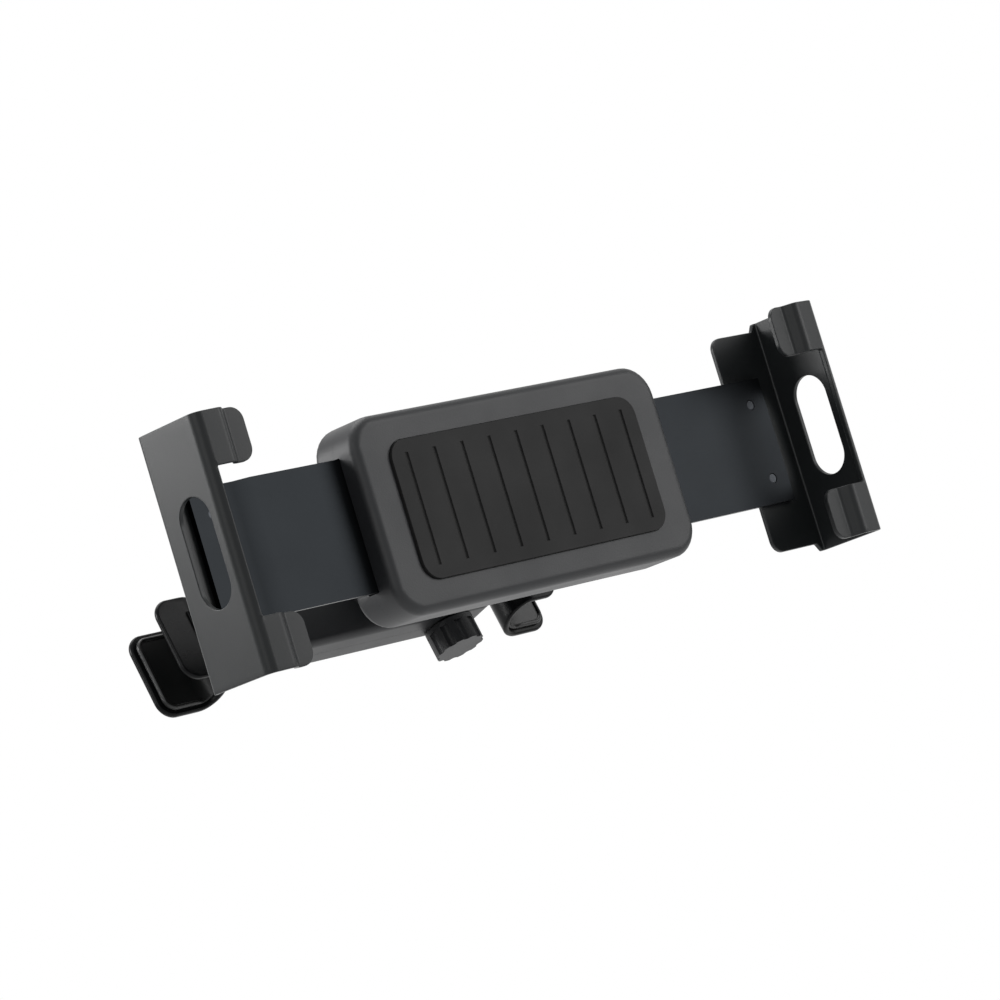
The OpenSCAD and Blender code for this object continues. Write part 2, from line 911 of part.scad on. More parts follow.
module seat_ring() {
    color("#c9c4b4")
        bar_frame()
            rotate([-90, 0, 0])
                ball_shell(seat_from, seat_to);
}

module ball_stud() {
    color("#9da1a4")
        bar_frame() {
            difference() {
                union() {
                    sphere(ball_r);
                    turned_y(0)
                        cylinder(d = stem_d, h = bar_y);
                    turned_y(boss_top_y - stem_foot_t)
                        cylinder(d = stem_foot_d, h = stem_foot_t);
                }
                turned_y(bar_y - stud_bite)
                    cylinder(d = stud_screw_d + 2 * running, h = stud_bite + over);
            }
        }
}

module stud_screw() {
    color("#3a3c3e")
        bar_frame()
            screw(stud_screw_d, stud_bite - short_room + stud_web, bar_y + stud_web);
}

// Places of the screws that join the two shells of the bar
module bar_screw_places() {
    for (x = [-1, 1], z = [-1, 1])
        translate([x * bar_screw_x, 0, -bar_drop + z * bar_screw_z])
            children();
}

// The way for the strips, the room of the spring and the seat of the brass insert
module bar_hollows() {
    translate([-bar_w, bar_split - channel_t / 2, -bar_drop - channel_h / 2])
        cube([2 * bar_w, channel_t, channel_h]);
    translate([knob_x, bar_split, bar_low - over])
        cylinder(d = knob_screw + 1, h = over + strip_low - bar_low);
    translate([knob_x, bar_split, strip_low - insert_gap - insert_h - insert_room])
        cylinder(d = insert_d + 2 * hole_room, h = insert_h + insert_gap + insert_room);
}

module bar_front() {
    color("#252628")
        bar_frame()
            difference() {
                union() {
                    translate([0, 0, -bar_drop])
                        mirror([0, 1, 0])
                            soft_block(bar_w, bar_h, -bar_split, -bar_y, bar_r, bar_edge);
                    turned_y(boss_top_y)
                        cylinder(
                            d1 = stem_foot_d + 2 * neck_wall, d2 = stem_foot_d + 2 * (neck_wall + neck_flare),
                            h = neck_l + over
                        );
                }
                hole(stem_d, boss_top_y - over, bar_y);
                hole(stud_screw_d, bar_y, bar_y + stud_web + over);
                hole(head_d * stud_screw_d, bar_y + stud_web, bar_split + over);
                bar_hollows();
                bar_screw_places()
                    hole(small_d, bar_split - bar_bite - 2 * short_room, bar_split + over);
            }
}

module bar_rear() {
    color("#252628")
        bar_frame()
            difference() {
                translate([0, 0, -bar_drop])
                    soft_block(bar_w, bar_h, bar_split, bar_back, bar_r, bar_edge);
                bar_hollows();
                bar_screw_places() {
                    hole(small_d, bar_split - over, bar_back + over);
                    hole(head_d * small_d, bar_back - counterbore, bar_back + over);
                }
            }
}

module bar_screws() {
    color("#3a3c3e")
        bar_frame()
            bar_screw_places()
                screw(small_d, bar_back - bar_split - counterbore + bar_bite, bar_back - counterbore);
}

// Flat end of a hook: from the bend's middle outwards by l, height h, between y0 and y1
module hook_flat(l, h, drop, y0, y1, inset, r) {
    difference() {
        translate([0, y0, -drop - h / 2 + inset])
            cube([l - inset, y1 - y0, h - 2 * inset]);
        for (z = [-1, 1])
            translate([l - inset, 0, -drop + z * (h / 2 - inset)])
                along_y(y0 - over, y1 + over)
                    mirror([0, z < 0 ? 1 : 0])
                        corner_waste(r);
    }
}

// Side view of the bend: it climbs from the rear plate to the front tongue
module bend_side(inset) {
    back = post_y + hook_out_r;
    front = post_y - hook_out_r;
    rotate([90, 0, -90])
        linear_extrude(far, center = true)
            polygon([
                [-back, -plate_drop - plate_h / 2 + inset], [-front, -tongue_drop - tongue_h / 2 + inset],
                [-front, -tongue_drop + tongue_h / 2 - inset], [-back, -plate_drop + plate_h / 2 - inset]
            ]);
}

// Half ring of the bend, from radius r0 to r1, open towards +X
module bend_ring(r0, r1, inset) {
    intersection() {
        translate([0, post_y, 0])
            difference() {
                cylinder(r = r1, h = far, center = true);
                cylinder(r = r0, h = 2 * far, center = true);
            }
        translate([-far, 0, -far])
            cube([far, far, 2 * far]);
        bend_side(inset);
    }
}

// Hook for a post on the +X side: U-shaped, open outwards, on a strip that reaches in to x = inner
module hook(inner) {
    translate([post_x, 0, 0]) {
        hook_flat(plate_l, plate_h, plate_drop, post_y + hook_r, post_y + hook_out_r, 0, hook_corner);
        hook_flat(tongue_l, tongue_h, tongue_drop, post_y - hook_out_r, post_y - hook_r, 0, hook_corner);
        bend_ring(hook_r, hook_out_r, 0);
    }
    difference() {
        translate([inner, strip_y - strip_t / 2, strip_low])
            cube([post_x - inner, strip_t, strip_h]);
        translate([post_x, post_y, 0])
            cylinder(r = hook_r + hook_t / 2, h = far, center = true);
    }
}

// Rubber lining of that hook, with a raised rim along its edge that starts beside the post
module hook_liner() {
    r0 = hook_r - liner_t;
    rim_x = sqrt(pow(r0, 2) - pow(r0 - rim_h, 2)) + 1;
    corner = hook_corner - liner_edge;
    rim_in = liner_edge + rim_t;
    translate([post_x, 0, 0]) {
        hook_flat(plate_l, plate_h, plate_drop, post_y + r0, post_y + hook_r, liner_edge, corner);
        hook_flat(tongue_l, tongue_h, tongue_drop, post_y - hook_r, post_y - r0, liner_edge, corner);
        bend_ring(r0, hook_r, liner_edge);
        translate([rim_x, 0, 0])
            difference() {
                hook_flat(
                    plate_l - rim_x, plate_h, plate_drop, post_y + r0 - rim_h, post_y + r0 + liner_t / 2,
                    liner_edge, corner
                );
                translate([-over, 0, 0])
                    hook_flat(
                        plate_l - rim_x + over, plate_h, plate_drop, post_y - over, post_y + hook_r,
                        rim_in, corner - rim_t
                    );
            }
    }
}

module hook_right() {
    color("#1d1e1f")
        bar_frame()
            hook(slide_in);
}

module hook_left() {
    color("#1d1e1f")
        bar_frame()
            mirror([1, 0, 0])
                hook(fixed_in);
}

module hook_liner_right() {
    color("#2a2a28")
        bar_frame()
            hook_liner();
}

module hook_liner_left() {
    color("#2a2a28")
        bar_frame()
            mirror([1, 0, 0])
                hook_liner();
}

// Compression spring between the ends of the two strips
module bar_spring() {
    color("#a9adb0")
        bar_frame()
            translate([0, strip_y, -bar_drop])
                coil(
                    -fixed_in + bar_wire / 2 + slide_gap, slide_in - bar_wire / 2 - slide_gap,
                    bar_spring_r, bar_wire, bar_turns
                );
}

// Brass thread that the shells of the bar hold
module knob_insert() {
    color("#b08d4f")
        bar_frame()
            translate([knob_x, bar_split, strip_low - insert_gap - insert_h])
                difference() {
                    cylinder(d = insert_d, h = insert_h);
                    translate([0, 0, -over])
                        cylinder(d = knob_screw + 2 * running, h = far);
                }
}

module lock_knob() {
    knob_top = bar_low - knob_clear;
    color("#1f2021")
        bar_frame()
            translate([knob_x, bar_split, 0]) {
                translate([0, 0, knob_top - over])
                    cylinder(d = knob_screw, h = strip_low - knob_gap - knob_top + over);
                translate([0, 0, knob_top - knob_h])
                    difference() {
                        cylinder(d = knob_d, h = knob_h);
                        for (a = [0:360 / knob_grips:359])
                            rotate(a)
                                translate([knob_d / 2 + 1, 0, -over])
                                    cylinder(r = knob_grip_r, h = knob_h + over - knob_brim);
                    }
            }
}

jaw_left();
jaw_right();
lip_pad_left_upper();
lip_pad_left_lower();
lip_pad_right_upper();
lip_pad_right_lower();
arm_left();
arm_right();
jaw_screws_left();
jaw_screws_right();
housing_front();
housing_rear();
seat_pad();
housing_screws();
pinion();
pinion_axle();
jaw_spring_left();
jaw_spring_right();
ball_socket();
socket_screws();
locking_ring();
friction_cup();
seat_ring();
ball_stud();
stud_screw();
bar_front();
bar_rear();
bar_screws();
hook_left();
hook_right();
hook_liner_left();
hook_liner_right();
bar_spring();
lock_knob();
knob_insert();
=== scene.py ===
# %% [markdown]
# A headrest mount for the back of a car seat. Two jaws of folded steel sheet slide on toothed
# arms in a moulded housing. A ball joint with a locking ring carries the housing, and a bar
# behind it takes hold of the two posts of a headrest with rubber-lined hooks.
#
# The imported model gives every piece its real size, its place and the way it moves. This script
# gives the pieces their surfaces: rounded cut edges, folds, grips and finishes.
# Lengths are in millimetres until a mesh is made, but the camera, the floor and the lamps are
# placed in metres. X runs along the jaws' travel, -Y points out of the front of the jaws, and +Z
# is up.

# %% Load the frame
import json
import math
import bmesh
import bpy
import numpy as np
from mathutils import Matrix, Vector, geometry


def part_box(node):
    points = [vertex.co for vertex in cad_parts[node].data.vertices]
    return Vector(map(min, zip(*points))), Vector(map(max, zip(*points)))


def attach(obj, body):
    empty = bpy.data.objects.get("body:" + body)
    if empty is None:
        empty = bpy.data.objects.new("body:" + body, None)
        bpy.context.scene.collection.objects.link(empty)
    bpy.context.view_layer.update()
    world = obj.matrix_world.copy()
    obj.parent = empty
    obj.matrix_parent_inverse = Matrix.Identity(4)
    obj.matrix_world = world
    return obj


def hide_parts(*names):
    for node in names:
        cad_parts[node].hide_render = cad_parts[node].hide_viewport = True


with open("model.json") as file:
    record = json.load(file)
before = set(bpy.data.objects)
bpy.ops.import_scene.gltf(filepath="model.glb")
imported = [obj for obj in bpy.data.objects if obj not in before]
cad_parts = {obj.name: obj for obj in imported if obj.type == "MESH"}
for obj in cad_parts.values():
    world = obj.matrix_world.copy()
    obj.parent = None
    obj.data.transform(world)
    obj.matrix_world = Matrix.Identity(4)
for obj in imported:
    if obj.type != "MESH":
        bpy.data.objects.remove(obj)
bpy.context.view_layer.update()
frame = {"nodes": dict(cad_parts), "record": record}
MM = 0.001

# %% [markdown]
# The picture was taken from low on the left with a long lens, so parallel edges stay nearly
# parallel. The camera's place and its two sideways axes come from one fit of assumed lengths to
# their corners in the picture. The third axis is the other two's cross product, and points
# from the mount back to the lens.

# %% Camera
camera_place = (-0.92442, -0.9730, -0.12554)
camera_right = np.array([0.7170, -0.6343, -0.2890])
camera_up = np.array([0.1518, -0.2627, 0.9528])
camera_back = np.cross(camera_right, camera_up)
focal_length = 164.75
sensor_width = 36

turn = Matrix(np.stack([camera_right, camera_up, camera_back], 1).tolist()).to_4x4()
camera = bpy.data.objects.new("camera", bpy.data.cameras.new("camera"))
camera.data.lens = focal_length
camera.data.sensor_width = sensor_width
camera.matrix_world = Matrix.Translation(camera_place) @ turn
bpy.context.scene.collection.objects.link(camera)
bpy.context.scene.camera = camera
print("camera looks along", np.round(-camera_back, 3))

# %% [markdown]
# A colour is written as the hex value that a picture would show, and one function turns it into
# the linear numbers that Blender works with. One more function adds a node to a material.

# %% Colours and nodes


def linear(hex_value):
    """sRGB hex to linear: divided by 12.92 near black, and a power of 2.4 above it."""
    srgb = np.array([int(hex_value[i:i + 2], 16) for i in (1, 3, 5)]) / 255
    low, high = srgb / 12.92, ((srgb + 0.055) / 1.055) ** 2.4
    return (*np.where(srgb <= 0.04045, low, high), 1.0)


def add_node(tree, kind, settings=None, **links):
    """A node of that kind. Settings are its attributes, or its sockets' values by name or number."""
    node = tree.nodes.new(kind)
    for key, value in (settings or {}).items():
        if isinstance(key, int) or key in node.inputs:
            node.inputs[key].default_value = value
        else:
            setattr(node, key, value)
    for key, source in links.items():
        socket = node.inputs[int(key[1:])] if key[1:].isdigit() else node.inputs[key.replace("_", " ")]
        tree.links.new(source, socket)
    return node


print("white is", linear("#ffffff")[:3])

# %% [markdown]
# A studio for a product picture: a plain pale floor well below the mount, which in use hangs
# between two posts, and a white surround. The surround is full white only for the camera and for
# reflections, so that it doesn't fill the shadows. The floor keeps its shadow, and a glow that
# only such rays see brings the paper up to white.

# %% Floor and world
floor_drop = 1.0
floor_half = 6.0
surround_level = 0.22
paper_glow = 0.85


def seen_ray(tree):
    """1 for a ray from the camera or off a shiny or clear surface, 0 for the light that fills."""
    path = add_node(tree, "ShaderNodeLightPath")
    seen = path.outputs["Is Camera Ray"]
    for kind in ("Is Glossy Ray", "Is Transmission Ray"):
        either = add_node(tree, "ShaderNodeMath", {"operation": "MAXIMUM"},
                          _0=seen, _1=path.outputs[kind])
        seen = either.outputs[0]
    return seen


world = bpy.data.worlds.new("studio")
world.use_nodes = True
scene = bpy.context.scene
scene.world = world
scene.view_settings.view_transform = "Standard"
tree = world.node_tree
tree.nodes.clear()
fill = add_node(tree, "ShaderNodeBackground", {"Color": linear("#ffffff"), "Strength": surround_level})
backdrop = add_node(tree, "ShaderNodeBackground", {"Color": linear("#ffffff"), "Strength": 1.0})
mixed = add_node(tree, "ShaderNodeMixShader", None,
                 _0=seen_ray(tree), _1=fill.outputs[0], _2=backdrop.outputs[0])
add_node(tree, "ShaderNodeOutputWorld", None, Surface=mixed.outputs[0])

corners = np.array([[-1, -1, 0], [1, -1, 0], [1, 1, 0], [-1, 1, 0]]) * floor_half
floor_mesh = bpy.data.meshes.new("floor")
floor_mesh.from_pydata((corners - [0, 0, floor_drop]).tolist(), [], [(0, 1, 2, 3)])
floor = bpy.data.objects.new("floor", floor_mesh)
scene.collection.objects.link(floor)
paper = bpy.data.materials.new("white_paper")
paper.use_nodes = True
tree = paper.node_tree
tree.nodes.clear()
glow_level = add_node(tree, "ShaderNodeMath", {"operation": "MULTIPLY", 1: paper_glow}, _0=seen_ray(tree))
lit = add_node(tree, "ShaderNodeBsdfDiffuse", {"Color": linear("#f0f0f0")})
glow = add_node(tree, "ShaderNodeEmission", {"Color": linear("#ffffff")}, Strength=glow_level.outputs[0])
both = add_node(tree, "ShaderNodeAddShader", None, _0=lit.outputs[0], _1=glow.outputs[0])
add_node(tree, "ShaderNodeOutputMaterial", None, Surface=both.outputs[0])
floor_mesh.materials.append(paper)
print("the floor lies", floor_drop, "m below the middle of the jaws")

# %% [markdown]
# Four soft lamps light the object. The walls of the jaws face sideways, so the lamp that their
# satin coat mirrors towards the camera stands behind on the left, and it is higher than the
# mount, so that the sheen fades downwards. One on the right front does the same for what faces
# forwards. A weak one on the left front and one from above fill and draw the upper edges.

# %% Lamps


def soft_lamp(name, place, size, watts):
    """Square area lamp of that size, turned so that it faces the origin: a lamp shines along its -Z."""
    data = bpy.data.lights.new(name, "AREA")
    data.shape = "SQUARE"
    data.size = size
    data.energy = watts
    lamp = bpy.data.objects.new(name, data)
    lamp.location = place
    lamp.rotation_euler = Vector(place).to_track_quat("Z", "Y").to_euler()
    scene.collection.objects.link(lamp)
    print(name, "at", place)


soft_lamp("sheen_lamp", (-0.66, 0.57, 0.34), 0.4, 7.6)
soft_lamp("front_lamp", (1.15, -1.45, 0.45), 1.2, 19)
soft_lamp("left_lamp", (-1.5, -0.8, 0.6), 1.0, 7)
soft_lamp("top_lamp", (0.2, 0.4, 1.6), 1.2, 20)

# %% [markdown]
# Every outline here is a few corners with a radius each, as on a drawing. One function turns
# them into a closed line with true arcs, and it serves the jaws' sheet with its holes, the
# pads and the hooks.

# %% Lines with round corners
ARC_STEP = 9


def rounded(corners, radii, step=ARC_STEP):
    """Closed line through the corners, each turned into an arc of its radius r.

    The arc starts r * tan(half the turn) before the corner. Its middle lies r to the inner side
    of that point, and its points follow r * (sin, -cos) of the bearing from there. step is the
    largest turn between two of them, in degrees.
    """
    corners = np.array(corners, float)
    count = len(corners)
    parts = []
    for i, radius in enumerate(np.broadcast_to(np.array(radii, float), count)):
        here = corners[i]
        if radius == 0:
            parts.append(here[None])
            continue
        way_in, way_out = here - corners[i - 1], corners[(i + 1) % count] - here
        bearing = math.atan2(way_in[1], way_in[0])
        bend = (math.atan2(way_out[1], way_out[0]) - bearing + math.pi) % (2 * math.pi) - math.pi
        side = math.copysign(1, bend)
        ahead = np.array([math.cos(bearing), math.sin(bearing)])
        middle = here - ahead * radius * math.tan(abs(bend) / 2)
        middle = middle + side * radius * np.array([-ahead[1], ahead[0]])
        number = max(2, math.ceil(math.degrees(abs(bend)) / step) + 1)
        angles = bearing + bend * np.linspace(0, 1, number)
        parts.append(middle + side * radius * np.column_stack([np.sin(angles), -np.cos(angles)]))
    return np.concatenate(parts)


def box_corners(u0, u1, v0, v1):
    """The four corners of a rectangle, turning left."""
    return [(u0, v0), (u1, v0), (u1, v1), (u0, v1)]


print("a rounded square has", len(rounded(box_corners(0, 1, 0, 1), 0.2)), "points")

# %% [markdown]
# The jaws are bent sheet and the hooks have that form too, so they are made as the shop makes
# sheet: a blank is cut flat, its sharp edge is broken, and the blank is folded. A boolean cut in
# a finished solid would leave ragged shading along each hole. So the outlines come first. They
# need a point wherever they cross a fold line, a copy of themselves a little further in for the
# broken edge, and a test of what lies inside them.

# %% Outlines of a blank
TOO_SHORT = 0.04
PARALLEL = 1e-9
END_SHARE = 1e-4


def with_crossings(outline, lines):
    """The outline with a point added wherever one of its sides crosses a fold line u = constant.

    A side shorter than a few hundredths of a millimetre is dropped, because its normal is
    arbitrary and the inset would throw a spike there.
    """
    step = np.roll(outline, -1, 0) - outline
    run = np.where(np.abs(step[:, 0]) < PARALLEL, np.nan, step[:, 0])
    share = (lines[None] - outline[:, :1]) / run[:, None]
    side, line = np.nonzero((share > END_SHARE) & (share < 1 - END_SHARE))
    amount = share[side, line]
    extra = outline[side] + amount[:, None] * step[side]
    order = np.argsort(np.concatenate([np.arange(len(outline)), side + amount]), kind="stable")
    merged = np.concatenate([outline, extra])[order]
    return merged[np.linalg.norm(merged - np.roll(merged, 1, 0), axis=1) > TOO_SHORT]


def inset(outline, depth):
    """The outline moved to its left: each point goes along the sum of its two sides' normals."""
    ahead = np.roll(outline, -1, 0) - outline
    ahead = ahead / np.linalg.norm(ahead, axis=1, keepdims=True)
    normal = np.column_stack([-ahead[:, 1], ahead[:, 0]])
    before = np.roll(normal, 1, 0)
    return outline + depth * (normal + before) / (1 + (normal * before).sum(1, keepdims=True))


def inside(points, outlines):
    """Even-odd test: a point is inside if a ray along +u crosses the outlines an odd number of times."""
    odd = np.zeros(len(points), bool)
    for outline in outlines:
        p, q = outline, np.roll(outline, -1, 0)
        spans = (p[:, 1][None] > points[:, 1:]) != (q[:, 1][None] > points[:, 1:])
        rise = np.where(p[:, 1] == q[:, 1], np.nan, q[:, 1] - p[:, 1])
        cut = p[:, 0] + (points[:, 1:] - p[:, 1]) * (q[:, 0] - p[:, 0]) / rise
        odd ^= (spans & (points[:, :1] < cut)).sum(1) % 2 == 1
    return odd


unit_square = np.array(box_corners(0, 1, 0, 1), float)
print("inset by a tenth, a unit square starts at", inset(unit_square, 0.1)[0])

# %% [markdown]
# The blank itself is a flat plate. Both faces are filled with triangles between the outlines and
# a lattice of points, which stand on the fold lines so that the sheet can bend there. The broken
# edge is a small quarter round above and below, carried along every outline as a grid.

# %% Cutting a blank
LATTICE = 2.5
EDGE_SEGMENTS = 3
SAME_PLACE = 1e-7
ALL_TRIANGLES = 0


def grid_faces(rows, columns, closed_rows=False, closed_columns=False):
    """Quads between the neighbours of a rows x columns grid of points, joined round where closed."""
    i, j = np.indices((rows - (not closed_rows), columns - (not closed_columns))).reshape(2, -1)
    i2, j2 = (i + 1) % rows, (j + 1) % columns
    return np.stack([i * columns + j, i2 * columns + j, i2 * columns + j2, i * columns + j2], 1)


def blank(outlines, thickness, edge, fold_lines=()):
    """Points (u, v, w) and faces of a flat sheet with that outline and those holes.

    The outline turns left and holes turn right, so the sheet is always on the left. Both faces
    are one triangulation at w = plus and minus half the thickness, held by a lattice of points
    on the fold lines. The edge is a half stadium: a quarter round, a flat and a quarter round.
    """
    lines = np.array(sorted(fold_lines), float)
    loops = [with_crossings(outline, lines) if len(lines) else outline for outline in outlines]
    rims = [inset(loop, edge) for loop in loops]
    low, high = rims[0].min(0), rims[0].max(0)
    lattice = np.stack(np.meshgrid(lines, np.arange(low[1] + LATTICE / 2, high[1], LATTICE)), -1)
    lattice = lattice.reshape(-1, 2)
    if len(lattice):
        lattice = lattice[inside(lattice, rims)]
        rim_points = np.concatenate(rims)
        gap = np.linalg.norm(lattice[:, None] - rim_points[None], axis=2).min(1)
        lattice = lattice[gap > LATTICE / 3]
    flat = np.concatenate([*rims, lattice])
    starts = np.cumsum([0] + [len(r) for r in rims])
    sides = np.concatenate([
        np.column_stack([np.arange(len(rim)), np.roll(np.arange(len(rim)), -1)]) + start
        for rim, start in zip(rims, starts)
    ])
    filled = geometry.delaunay_2d_cdt(flat.tolist(), sides.tolist(), [], ALL_TRIANGLES, SAME_PLACE, False)
    flat = np.array([list(v) for v in filled[0]])
    triangles = np.array([f for f in filled[2] if len(f) == 3])
    triangles = triangles[inside(flat[triangles].mean(1), rims)]
    half = thickness / 2
    points = [np.column_stack([flat, np.full(len(flat), side * half)]) for side in (1, -1)]
    faces = [triangles, triangles[:, ::-1] + len(flat)]
    angles = np.linspace(math.pi / 2, 0, EDGE_SEGMENTS + 1)
    depths = edge * (1 - np.cos(angles))
    levels = half - edge * (1 - np.sin(angles))
    total = 2 * len(flat)
    for loop in loops:
        rings = [np.column_stack([inset(loop, depth), np.full(len(loop), level)])
                 for depth, level in [*zip(depths, levels), *zip(depths[::-1], -levels[::-1])]]
        points.extend(rings)
        faces.append(grid_faces(len(rings), len(loop), closed_columns=True) + total)
        total += len(rings) * len(loop)
    return np.concatenate(points), [face.tolist() for part in faces for face in part]


print("a unit plate has", len(blank([unit_square], 0.2, 0.05)[1]), "faces")

# %% [markdown]
# A press brake bends sheet along straight lines, and the length along the sheet's middle stays the
# same. So a fold is an arc of that middle, and a folded sheet is a row of legs, each straight or
# bent. A modifier could bend a plate once, but not at four folds with a radius each. One formula
# does, for all points at once: it puts a point of the blank at its length along the legs.

# %% Folding
FOLD_STEP = 9


def sheet_legs(corners, inner_radii, thickness):
    """Rows of (length, turn) along the middle of a folded sheet whose left face has these corners.

    A fold keeps its inner radius, so the left face's own radius is that or that plus the sheet,
    and the middle's is half a sheet more than the inner one.
    """
    corners = np.array(corners, float)
    ways = np.diff(corners, axis=0)
    bearings = np.degrees(np.arctan2(ways[:, 1], ways[:, 0]))
    turns = (np.diff(bearings) + 180) % 360 - 180
    inner = np.array(inner_radii, float)
    face = np.where(turns < 0, inner + thickness, inner)
    cuts = np.concatenate([[0], face * np.tan(np.radians(np.abs(turns)) / 2), [0]])
    straights = np.linalg.norm(ways, axis=1) - cuts[:-1] - cuts[1:]
    arcs = (inner + thickness / 2) * np.radians(np.abs(turns))
    legs = [(straights[0], 0)]
    for arc, turn_angle, straight in zip(arcs, turns, straights[1:]):
        legs += [(arc, turn_angle), (straight, 0)]
    return np.array(legs)


def fold_lines(legs):
    """The places along a blank where its folds need a row of points."""
    ends = np.cumsum(legs[:, 0])
    return np.concatenate([
        np.linspace(end - length, end, math.ceil(abs(angle) / FOLD_STEP) + 1)
        for (length, angle), end in zip(legs, ends) if angle
    ])


def folded(points, legs, start, bearing):
    """Where points (u, v, w) of a blank lie once it is folded: u along it, w to its left, v up.

    Each leg is an arc, a straight one with no turn. The chord from its start to u is u times
    sin(h) / h, with h half the angle turned so far, and points along the start bearing plus h.
    """
    length = legs[:, 0]
    turned = np.radians(legs[:, 1])
    first = np.concatenate([[0], np.cumsum(length)])[:-1]
    bearings = math.radians(bearing) + np.concatenate([[0], np.cumsum(turned)])[:-1]

    def chord(leg, along):
        """From a leg's start to the point that far along it."""
        half = turned[leg] / length[leg] * along / 2
        size = along * np.sinc(half / np.pi)
        return np.column_stack([size * np.cos(bearings[leg] + half), size * np.sin(bearings[leg] + half)])

    every = np.arange(len(legs))
    starts = np.array(start) + np.concatenate([[[0, 0]], np.cumsum(chord(every, length), 0)])[:-1]
    leg = np.clip(np.searchsorted(first, points[:, 0], "right") - 1, 0, len(legs) - 1)
    along = points[:, 0] - first[leg]
    heading = bearings[leg] + turned[leg] / length[leg] * along
    left = np.column_stack([-np.sin(heading), np.cos(heading)])
    place = starts[leg] + chord(leg, along) + points[:, 2:] * left
    return np.column_stack([place, points[:, 1]])


half_turn = np.array([(math.pi, 180)])
far_end = folded(np.array([[math.pi, 0, 0]]), half_turn, (0, 0), 0)
print("half a turn of radius 1 ends at", np.round(far_end, 3))

# %% [markdown]
# One function makes an object of points and faces. It merges what lies in the same place, because
# the edge of a blank and its faces are separate grids so far, turns the faces outwards, hangs the
# piece on the body that it rides on and hides the nodes that it stands for.

# %% Making an object
MERGE_WITHIN = 1e-7
NO_LENGTH = 1e-8


def piece(name, points, faces, body, nodes, finish):
    """A mesh object from points in millimetres, with its doubles merged and its faces outwards."""
    mesh = bpy.data.meshes.new(name)
    mesh.from_pydata((np.asarray(points) * MM).tolist(), [], [tuple(corners) for corners in faces])
    work = bmesh.new()
    work.from_mesh(mesh)
    bmesh.ops.remove_doubles(work, verts=work.verts, dist=MERGE_WITHIN)
    bmesh.ops.dissolve_degenerate(work, edges=work.edges, dist=NO_LENGTH)
    bmesh.ops.recalc_face_normals(work, faces=work.faces)
    for face in work.faces:
        face.smooth = True
    work.to_mesh(mesh)
    odd_edges = sum(not edge.is_manifold for edge in work.edges)
    work.free()
    mesh.materials.append(finish)
    made = bpy.data.objects.new(name, mesh)
    bpy.context.scene.collection.objects.link(made)
    made.modifiers.new("even_normals", "WEIGHTED_NORMAL").mode = "FACE_AREA"
    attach(made, body)
    if nodes:
        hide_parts(*nodes)
    print(name, "has", len(mesh.polygons), "faces and", odd_edges, "edges that don't join two faces")


# %% [markdown]
# The finishes. Each starts from what the real surface is and how it was made. The black parts
# differ only a little in colour, so what sets them apart is how rough they are and how their
# light breaks up: powder coat has a fine orange peel, moulded plastic a spark-eroded grain,
# silicone a dead matt skin. A grain of a tenth of a millimetre doesn't show in the picture, so
# each one is drawn two to four times as coarse as it is.

# %% A finish from its numbers
CLOUD_SCALE = 45.0
CLOUD_DETAIL = 4.0
GRAIN_DETAIL = 2.0
DULLER, SHINIER = 1.18, 0.82


def finish(name, colour, roughness, grain, depth, mottle, metallic=0.0, ior=None, gloss=0.5,
           stretch=(1, 1, 1)):
    """A material whose colour and roughness wander, with a grain that catches the light.

    grain is the size of the surface's bumps in millimetres and depth their height. Noise turns at
    about once per unit, so its scale in metres is 1 over the grain. stretch draws the grain out
    for a rolled or turned face, and mottle is how far the colour wanders. Handling polishes spots
    of about 1 over CLOUD_SCALE metres.
    """
    made = bpy.data.materials.new(name)
    made.use_nodes = True
    tree = made.node_tree
    surface = tree.nodes["Principled BSDF"]
    surface.inputs["Metallic"].default_value = metallic
    surface.inputs["Specular IOR Level"].default_value = gloss
    if ior:
        surface.inputs["IOR"].default_value = ior
    place = add_node(tree, "ShaderNodeTexCoord")
    cloud = add_node(tree, "ShaderNodeTexNoise", {"Scale": CLOUD_SCALE, "Detail": CLOUD_DETAIL},
                     Vector=place.outputs["Object"])
    limits = {"To Min": roughness * SHINIER, "To Max": roughness * DULLER}
    spread = add_node(tree, "ShaderNodeMapRange", limits, Value=cloud.outputs["Fac"])
    shade = add_node(tree, "ShaderNodeMapRange", {"To Min": 1 - 2 * mottle, "To Max": 1 + 2 * mottle},
                     Value=cloud.outputs["Fac"])
    drawn = add_node(tree, "ShaderNodeMapping", {"Scale": stretch}, Vector=place.outputs["Object"])
    fine = add_node(tree, "ShaderNodeTexNoise", {"Scale": 1 / (grain * MM), "Detail": GRAIN_DETAIL},
                    Vector=drawn.outputs[0])
    speck = add_node(tree, "ShaderNodeMapRange", {"To Min": 1 - mottle, "To Max": 1 + mottle},
                     Value=fine.outputs["Fac"])
    amount = add_node(tree, "ShaderNodeMath", {"operation": "MULTIPLY"},
                      _0=shade.outputs[0], _1=speck.outputs[0])
    tint = add_node(tree, "ShaderNodeVectorMath", {"operation": "SCALE", 0: linear(colour)[:3]},
                    Scale=amount.outputs[0])
    bump = add_node(tree, "ShaderNodeBump", {"Strength": 1.0, "Distance": depth * MM},
                    Height=fine.outputs["Fac"])
    tree.links.new(spread.outputs[0], surface.inputs["Roughness"])
    tree.links.new(tint.outputs[0], surface.inputs["Base Color"])
    tree.links.new(bump.outputs[0], surface.inputs["Normal"])
    return made


print("polished spots are about", round(1 / (CLOUD_SCALE * MM)), "mm across")

# %% [markdown]
# The finishes by name. The coat on the jaws is a satin epoxy powder, baked on. The housing is
# ABS from a spark-eroded mould, the hooks are nylon from a polished one, so they are smoother and
# blacker beside it. Metals take their whole colour from reflection: rolled strip anodised dark
# grey, turned steel and brass, and screws blackened in an oxide bath. The ball's two linings are
# natural nylon, and the pinion is acetal.

